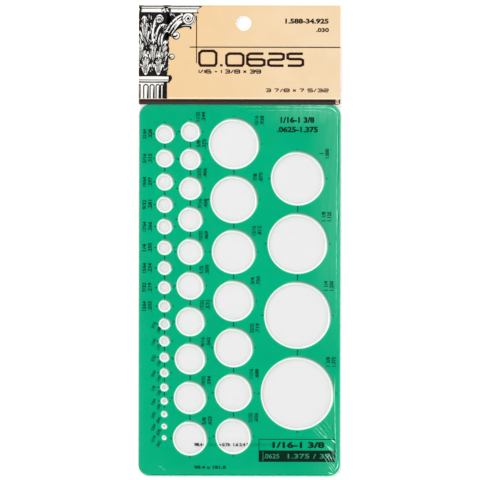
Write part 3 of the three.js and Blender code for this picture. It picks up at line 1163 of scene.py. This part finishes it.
class Picture:
    """A picture in eight layers of ink, black over white over black."""

    def __init__(self):
        self.layers = [bmesh.new() for _ in range(8)]
        self.drawn = 0

    def height(self, layer):
        """Each shape of a layer is a hair higher than the last, so that shapes that cross don't lie level."""
        self.drawn += 1
        return on_card(layer) + HAIR * (self.drawn % 13)

    def patch(self, layer, points):
        slab(self.layers[layer], [on_picture(*p) for p in points], self.height(layer))

    def block(self, layer, left, right, top, bottom):
        self.patch(layer, [(left, bottom), (right, bottom), (right, top), (left, top)])

    def pen(self, layer, points, *widths, steps=6):
        widths = widths if len(widths) > 1 else widths * 2
        points = [on_picture(*p) for p in points]
        stroke(self.layers[layer], points, widths, self.height(layer), steps=steps)

    def disc(self, layer, u, v, radius):
        self.patch(layer, circle(u, v, radius, 28))

    def finish(self):
        white = ink_material("picture_white", "#fdfcf8", 0.5, 0.02)
        black = ink_material("picture_black", "#16110f", 0.5, 0.06)
        for number, bm in enumerate(self.layers):
            for vertex in bm.verts:
                vertex.co.x = max(vertex.co.x, CARD_LEFT + SLIVER)
            material = white if number in WHITE_LAYERS else black
            finish_piece(f"column_picture_{number}", bm, [material], "header_flap")


BELL = [(15.9, 4.0), (15.7, 7.6), (15.1, 11.5), (14.9, 16.0)]  # the capital's right side, from its top down
BELL += [(14.6, 20.5), (14.7, 24.0), (14.5, 29.0), (13.9, 34.8)]


def engrave(picture, layer, box, count, long, wide, seed):
    """Short strokes of an engraver's tool, each leaning out from the box's middle line."""
    left, right, top, bottom = box
    draw = random.Random(seed)
    for _ in range(count):
        u, v = draw.uniform(left, right), draw.uniform(top, bottom)
        lean = (u - (left + right) / 2) / (right - left) + draw.uniform(-0.7, 0.7)
        reach = draw.uniform(0.5, 1.0) * long
        tip = (u + reach * math.sin(lean), v - reach * math.cos(lean))
        bend = ((u + tip[0]) / 2 + draw.uniform(-0.25, 0.25), (v + tip[1]) / 2)
        picture.pen(layer, [(u, v), bend, tip], 0.06, draw.uniform(0.6, 1.0) * wide, 0.06, steps=3)


def leaf(picture, shade, ink, u, v, tall, reach, lean=0.0):
    """A leaf that stands at u and v: long fronds rise beside a rib, and their tips curl out and down."""
    half = reach + 0.55
    outline = [(u - 0.5, v + 0.1), (u - half, v - tall * 0.3), (u - half + lean, v - tall * 0.7)]
    outline += [(u + lean - 0.7, v - tall - 0.5), (u + lean + 0.7, v - tall - 0.5)]
    outline += [(u + half + lean, v - tall * 0.7), (u + half, v - tall * 0.3), (u + 0.5, v + 0.1)]
    picture.patch(shade, [(max(a, SLIVER), b) for a, b in outline])
    for k, rise in ((2, 0.5), (1, 0.76)):
        for side in (-1, 1):
            out = reach * k / 2
            frond = [
                (u + side * 0.18 * k, v - 0.2),
                (u + side * out * 0.45, v - tall * rise * 0.42),
                (u + side * out * 0.66 + lean * rise * 0.8, v - tall * rise * 0.82),
                (u + side * out * 0.95 + lean * rise, v - tall * rise),
                (u + side * (out + 0.35) + lean * rise, v - tall * rise + 1.1),
            ]
            picture.pen(ink, frond, 0.2, 0.62, 0.85, 0.95, 0.2)
    rib = [(u, v), (u + lean * 0.4, v - tall * 0.55), (u + lean, v - tall * 0.96)]
    picture.pen(ink, rib, 0.5, 0.85, 0.5)
    rib = [(u, v - 1.0), (u + lean * 0.4, v - tall * 0.5), (u + lean, v - tall * 0.8)]
    picture.pen(LINES, rib, 0.12, 0.3, 0.1)
    for side in (-1, 1):
        for out, rise in ((0.2, 0.7), (0.36, 0.52), (0.62, 0.36)):
            vein = [(u + side * 0.3, v - 0.9), (u + side * reach * out, v - tall * rise * 0.55)]
            vein.append((u + side * reach * out * 1.5 + lean * rise, v - tall * rise))
            picture.pen(LINES, vein, 0.1, 0.3, 0.12, steps=4)
    u, v = u + lean, v - tall
    picture.pen(ink, [(u - 1.3, v + 1.2), (u, v), (u + 1.3, v + 1.3)], 0.2, 1.15, 0.2)


def scroll(picture, u, v, radius, turn=1, turns=1.6):
    """A spiral scroll round u and v, white with a black line inside."""
    picture.disc(MIDDLE_SHADE, u, v, radius + 0.35)
    picture.disc(MIDDLE_LEAVES, u, v, radius)
    steps = 30
    line = []
    for i in range(steps + 1):
        share = i / steps
        angle = turn * (share * turns * 2 * math.pi - 0.4)
        away = (radius - 0.55) * (1 - share * 0.72)
        line.append((u + away * math.cos(angle), v + away * math.sin(angle)))
    picture.pen(LINES, line[::2], 0.42, 0.18)
    picture.disc(LINES, u, v, radius * 0.24)
    shadow = [(u - radius * 0.1, v + radius * 0.62), (u + radius * 0.5, v + radius * 0.4)]
    picture.pen(LINES, shadow, 0.16, 0.1)


def draw_abacus(picture):
    """The slab on top of the capital, with a flower at its middle and a hollow end."""
    picture.patch(PAPER, [(SLIVER, 1.07), (30.4, 1.07), (28.9, 2.2), (28.5, 3.2), (28.9, 4.1), (SLIVER, 4.1)])
    picture.block(LINES, SLIVER, 30.8, 1.07, 1.24)
    picture.pen(LINES, [(0.6, 1.95), (14.0, 1.9), (28.6, 1.95)], 0.42, 0.3, 0.24)
    picture.pen(LINES, [(0.6, 4.1), (14.0, 4.15), (29.3, 4.15)], 0.7, 0.6, 0.5)
    picture.pen(LINES, [(15.5, 2.4), (22.0, 2.45), (28.3, 2.4)], 0.1)
    picture.pen(LINES, [(30.6, 1.15), (29.0, 2.1), (28.5, 3.1), (28.9, 4.1)], 0.28, 0.2, 0.3)
    picture.pen(LINES, [(0.7, 1.2), (1.0, 2.6), (0.5, 4.0)], 1.3, 1.0, 1.1)
    u, v = 13.2, 2.75
    picture.disc(MIDDLE_SHADE, u, v, 1.7)
    picture.pen(MIDDLE_SHADE, [(u - 2.2, v), (u, v), (u + 2.5, v)], 1.0, 2.8, 1.8)
    for i in range(5):
        angle = i * 2 * math.pi / 5 + 0.4
        middle = (u - 0.2 + 1.15 * math.cos(angle), v + 0.75 * math.sin(angle))
        tip = (u - 0.2 + 1.95 * math.cos(angle + 0.2), v + 1.25 * math.sin(angle + 0.2))
        picture.pen(MIDDLE_LEAVES, [(u, v), middle, tip], 0.3, 0.8, 0.3)
    picture.disc(LINES, u, v, 0.45)


def draw_arm(picture):
    """The large scroll at the capital's corner, on its stalk, with small curls under it."""
    arm = [(13.0, 17.0), (15.4, 15.6), (18.2, 12.4), (22.0, 10.6), (24.9, 10.6), (26.2, 9.2), (25.5, 5.0)]
    picture.patch(BELL_BLACK, arm + [(22.0, 4.0), (14.0, 4.0)])
    for shift, width in ((0.0, 0.8), (1.45, 0.75), (2.8, 0.6)):
        stalk = [(13.2 + shift, 13.4 + 0.4 * shift), (15.6 + shift, 9.6 + 0.5 * shift)]
        stalk += [(19.4 + 0.7 * shift, 6.0 + 0.7 * shift), (23.4 + 0.3 * shift, 4.9 + 0.75 * shift)]
        picture.pen(BACK_LEAVES, stalk, 0.3, width, width, 0.25)
    picture.pen(BACK_LEAVES, [(17.6, 11.3), (19.6, 9.0), (22.6, 7.9)], 0.3, 1.3, 1.0)
    scroll(picture, 24.2, 6.9, 2.7)
    picture.pen(MIDDLE_LEAVES, [(27.2, 5.2), (27.7, 7.0), (26.7, 9.3)], 0.2, 0.55, 0.2)
    picture.pen(LINES, [(23.2, 4.2), (26.4, 4.6), (27.9, 7.0), (26.8, 9.8)], 0.2, 0.35, 0.3, 0.15)
    under_arm = [(15.6, 14.6), (18.6, 12.0), (22.4, 10.6), (25.4, 10.8), (25.2, 12.2)]
    picture.pen(BELL_BLACK, under_arm, 1.3, 1.1, 1.0, 1.5, 0.5)
    picture.pen(BACK_LEAVES, [(21.0, 10.5), (23.6, 10.1), (25.8, 10.6), (26.1, 12.0)], 0.15, 0.35, 0.4, 0.1)
    picture.disc(BELL_BLACK, 18.2, 15.3, 1.95)
    picture.disc(BACK_LEAVES, 18.3, 15.2, 1.5)
    picture.pen(LINES, [(15.4, 15.4), (17.6, 15.7), (18.8, 15.2), (18.3, 14.4)], 0.5, 0.9, 0.5, 0.15)
    picture.disc(FRONT_SHADE, 16.1, 25.6, 1.5)
    picture.disc(FRONT_LEAVES, 16.2, 25.5, 1.0)
    picture.pen(LINES, [(14.6, 25.5), (15.9, 25.9), (16.6, 25.3)], 0.4, 0.5, 0.15)
    engrave(picture, LINES, (14.6, 21.6, 6.0, 13.5), 16, 2.2, 0.42, 8)
    engrave(picture, BACK_LEAVES, (15.0, 21.5, 4.8, 8.5), 8, 2.0, 0.45, 9)


def draw_bell(picture):
    """The capital: a dark bell with three tiers of leaves and a small scroll."""
    picture.patch(BELL_BLACK, [(SLIVER, 34.8), (SLIVER, 4.0)] + BELL)
    leaf(picture, BELL_BLACK, BACK_LEAVES, 3.1, 20.5, 14.3, 2.6, -0.4)
    stalk = [(6.6, 20.5), (6.9, 13.5), (8.2, 7.6), (10.3, 5.3), (12.2, 7.0)]
    picture.pen(BACK_LEAVES, stalk, 0.6, 0.9, 0.9, 0.7, 0.2)
    picture.pen(BACK_LEAVES, [(8.3, 17.5), (9.3, 12.6), (11.4, 10.0), (13.9, 10.2)], 0.4, 0.8, 0.9, 0.2)
    picture.pen(BACK_LEAVES, [(11.4, 21.5), (11.2, 17.0), (12.6, 13.6), (14.6, 13.2)], 0.4, 0.8, 0.8, 0.2)
    picture.pen(BACK_LEAVES, [(9.9, 20.0), (9.9, 16.6), (10.9, 14.0)], 0.3, 0.6, 0.2)
    scroll(picture, 9.9, 7.5, 1.4, -1, 1.2)
    for u, tall, reach, lean in ((0.9, 13.2, 2.3, 0.0), (6.9, 12.4, 2.5, 0.3), (12.4, 11.4, 1.5, 0.6)):
        leaf(picture, MIDDLE_SHADE, MIDDLE_LEAVES, u, 29.6, tall, reach, lean)
    for u, tall, reach, lean in ((3.4, 9.8, 2.5, 0.0), (9.6, 9.6, 2.2, 0.2)):
        leaf(picture, FRONT_SHADE, FRONT_LEAVES, u, 34.5, tall, reach, lean)
    for i in range(6):
        v = 20.5 + 2.5 * i
        picture.pen(LINES, [(12.9, v), (13.9, v - 0.8), (14.4, v - 2.2)], 0.15, 0.8, 0.2)
    engrave(picture, BACK_LEAVES, (0.5, 14.2, 6.5, 33.8), 120, 2.2, 0.5, 5)
    engrave(picture, LINES, (0.5, 13.6, 8.0, 34.0), 170, 2.4, 0.42, 6)


def draw_shaft(picture):
    """The ring under the leaves, and the fluted shaft below it, in shadow on its right."""
    picture.block(PAPER, SLIVER, 15.6, 34.8, 38.0)
    picture.block(PAPER, SLIVER, 13.9, 38.0, 46.1)
    picture.pen(LINES, [(SLIVER + 0.1, 34.95), (7.0, 34.9), (15.9, 34.95)], 0.55, 0.45, 0.7)
    picture.pen(LINES, [(SLIVER + 0.1, 36.9), (7.0, 36.95), (15.4, 36.9)], 0.34)
    picture.pen(LINES, [(SLIVER + 0.1, 37.95), (7.0, 38.0), (15.2, 37.95)], 0.65, 0.55, 0.7)
    picture.pen(LINES, [(15.0, 35.1), (15.5, 35.8), (15.3, 36.7), (14.8, 37.8)], 1.2, 1.7, 1.5, 0.8)
    picture.block(BELL_BLACK, 12.2, 13.9, 38.0, 46.1)
    for u, half in ((0.4, 0.35), (3.6, 1.1), (6.6, 1.0), (9.4, 0.85), (11.4, 0.6)):
        arch = circle(u, 39.2 + half, half, 9, math.pi, 2 * math.pi)
        flute = [(u - half, 46.0), (u - half, 42.5), *arch, (u + half, 42.5), (u + half, 46.0)]
        picture.pen(LINES, flute, 0.56, 0.5)
        picture.pen(LINES, [(u + half * 0.55, 40.3), (u + half * 0.6, 46.0)], 0.1, 0.42)


def make_picture_on_fold():
    """The picture's top edge, which goes over the fold."""
    black, white = bmesh.new(), bmesh.new()

    def on_fold(x, y):
        reach = max(min((y - CREASE_LOW.y) / (CREASE_HIGH.y - CREASE_LOW.y), 0.98), 0.0)
        middle = (CARD_TOP + CREASE_LOW.z) / 2
        return middle + (CARD_TOP - middle) * math.sqrt(1 - reach**2)

    def band(target, left, right, top, bottom, layer):
        along = [PACK_TOP - bottom + (bottom - top) * i / 5 for i in range(6)]
        lift = 0.02 + layer * LAYER
        across = [CARD_LEFT + left, CARD_LEFT + right]
        grid_plate(target, across, along, lambda x, y: on_fold(x, y) + lift, INK)

    band(white, SLIVER, 30.6, 0.2, 0.99, 0)
    band(black, SLIVER, 30.9, 0.6, 0.97, 1)
    band(black, 0.2, 2.2, 0.46, 0.59, 1)
    band(black, 12.0, 15.6, 0.4, 0.59, 1)
    for name, bm in (("white", white), ("black", black)):
        material = bpy.data.materials["picture_" + name]
        finish_piece("column_picture_fold_" + name, bm, [material], "sleeve")


def make_picture():
    picture = Picture()
    draw_bell(picture)
    draw_arm(picture)
    draw_abacus(picture)
    draw_shaft(picture)
    picture.finish()
    make_picture_on_fold()


def make_card():
    printed = board_face("printed_card", "#f7d3a1", "#f8deb9")
    plain = board_plain("plain_card", "#efe6d4")
    core = board_plain("card_core", "#e6d3b4")
    low, high = (corner.z for corner in box_mm("header_back_panel"))
    make_card_panel("front", CARD_LOW.z, CARD_TOP, [printed, plain, core], "header_flap")
    make_card_panel("back", low, high, [plain, printed, core], "sleeve")
    make_crease(printed, plain)
    make_glue("front", "header_flap")
    make_glue("back", "sleeve")


make_card()
make_card_lines()
make_picture()


# ---------------------------------------------------------------- the floor, the light and the camera


def make_floor():
    """A large pale sheet, lit a little from inside as a light table is, so that it keeps no shadows."""
    material, tree = empty_material("light_table")
    show(tree, principled(tree, grey(0.82), 0.9, 0.0, glow=grey(1.0), strength=0.42))
    bm = bmesh.new()
    reach, under = 4.0, -0.0003
    bm.faces.new(corners(bm, [(-reach, -reach), (reach, -reach), (reach, reach), (-reach, reach)], under))
    mesh = bpy.data.meshes.new("floor")
    bm.to_mesh(mesh)
    bm.free()
    mesh.materials.append(material)
    floor = bpy.data.objects.new("floor", mesh)
    bpy.context.scene.collection.objects.link(floor)


def make_sky():
    """Soft light from all round, with a dark patch overhead so that the film mirrors nothing there."""
    world = bpy.data.worlds.new("light_tent")
    world.use_nodes = True
    tree = world.node_tree
    tree.nodes.clear()
    up = add(tree, "ShaderNodeSeparateXYZ", {0: add(tree, "ShaderNodeTexCoord").outputs["Generated"]})
    tent = remap(tree, up.outputs["Z"], math.cos(math.radians(9)), math.cos(math.radians(24)), 0.0, 0.87)
    seen = add(tree, "ShaderNodeLightPath").outputs["Is Camera Ray"]
    strength = add(tree, "ShaderNodeMix", {0: seen, 2: tent, 3: 1.05}).outputs[0]
    light = add(tree, "ShaderNodeBackground", {"Color": grey(1.0), "Strength": strength})
    add(tree, "ShaderNodeOutputWorld", {"Surface": light.outputs[0]})
    bpy.context.scene.world = world


def make_lamp(name, place_m, size, watts):
    """A square softbox that faces the pack."""
    data = bpy.data.lights.new(name, "AREA")
    data.size = size
    data.energy = watts
    lamp = bpy.data.objects.new(name, data)
    lamp.location = place_m
    lamp.rotation_euler = (-Vector(place_m)).to_track_quat("-Z", "Y").to_euler()
    bpy.context.scene.collection.objects.link(lamp)


def make_camera():
    """Straight above the pack. The small turn is the one that the pack lies at."""
    data = bpy.data.cameras.new("camera")
    data.lens = 200.0
    data.sensor_width = 36.0
    span = 0.23487  # width of what is seen, at the pack
    camera = bpy.data.objects.new("camera", data)
    height = span * data.lens / data.sensor_width
    camera.location = (0.00015, 0.00039, height)
    camera.rotation_euler = (0.0, 0.0, 0.0021)
    data.clip_start = 0.05
    data.clip_end = 20.0
    bpy.context.scene.collection.objects.link(camera)
    bpy.context.scene.camera = camera


make_floor()
make_sky()
make_lamp("softbox", (-0.75, 0.7, 1.1), 0.6, 6.2)
make_camera()
bpy.context.scene.view_settings.view_transform = "Standard"

bpy.context.view_layer.update()
